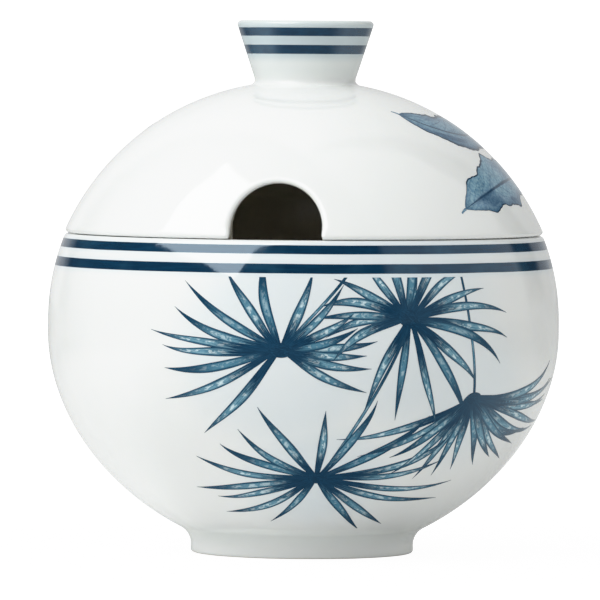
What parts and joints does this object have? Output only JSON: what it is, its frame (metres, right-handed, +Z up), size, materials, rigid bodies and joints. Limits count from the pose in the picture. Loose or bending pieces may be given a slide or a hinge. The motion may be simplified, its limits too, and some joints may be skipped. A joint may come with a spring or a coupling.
{
  "type": "sugar bowl",
  "caption": "Round porcelain sugar bowl on a foot ring, with a domed lift-off lid, a conical knob and an arched spoon notch in the lid's front edge.",
  "frame": {"origin": "centre of the foot ring's resting face", "axes": "+Z up along the common axis of bowl, lid and knob; -Y towards the lid's spoon notch; +X to the right when the notch faces the viewer"},
  "size_m": [0.105, 0.105, 0.1092],
  "materials": {
    "bowl_glaze": "glossy clear glaze over white porcelain, cobalt blue bands and leaf print, unglazed resting face",
    "lid_glaze": "glossy clear glaze over white porcelain, cobalt blue bands on the knob and leaf print on one side"
  },
  "bodies": {
    "bowl": {"bowl": "bowl_glaze"},
    "lid": {"lid": "lid_glaze"}
  },
  "joints": [
    {"name": "lid_lift", "type": "slide", "parent": "bowl", "child": "lid", "axis": [0, 0, 1], "range_m": [0, 0.045]}
  ]
}
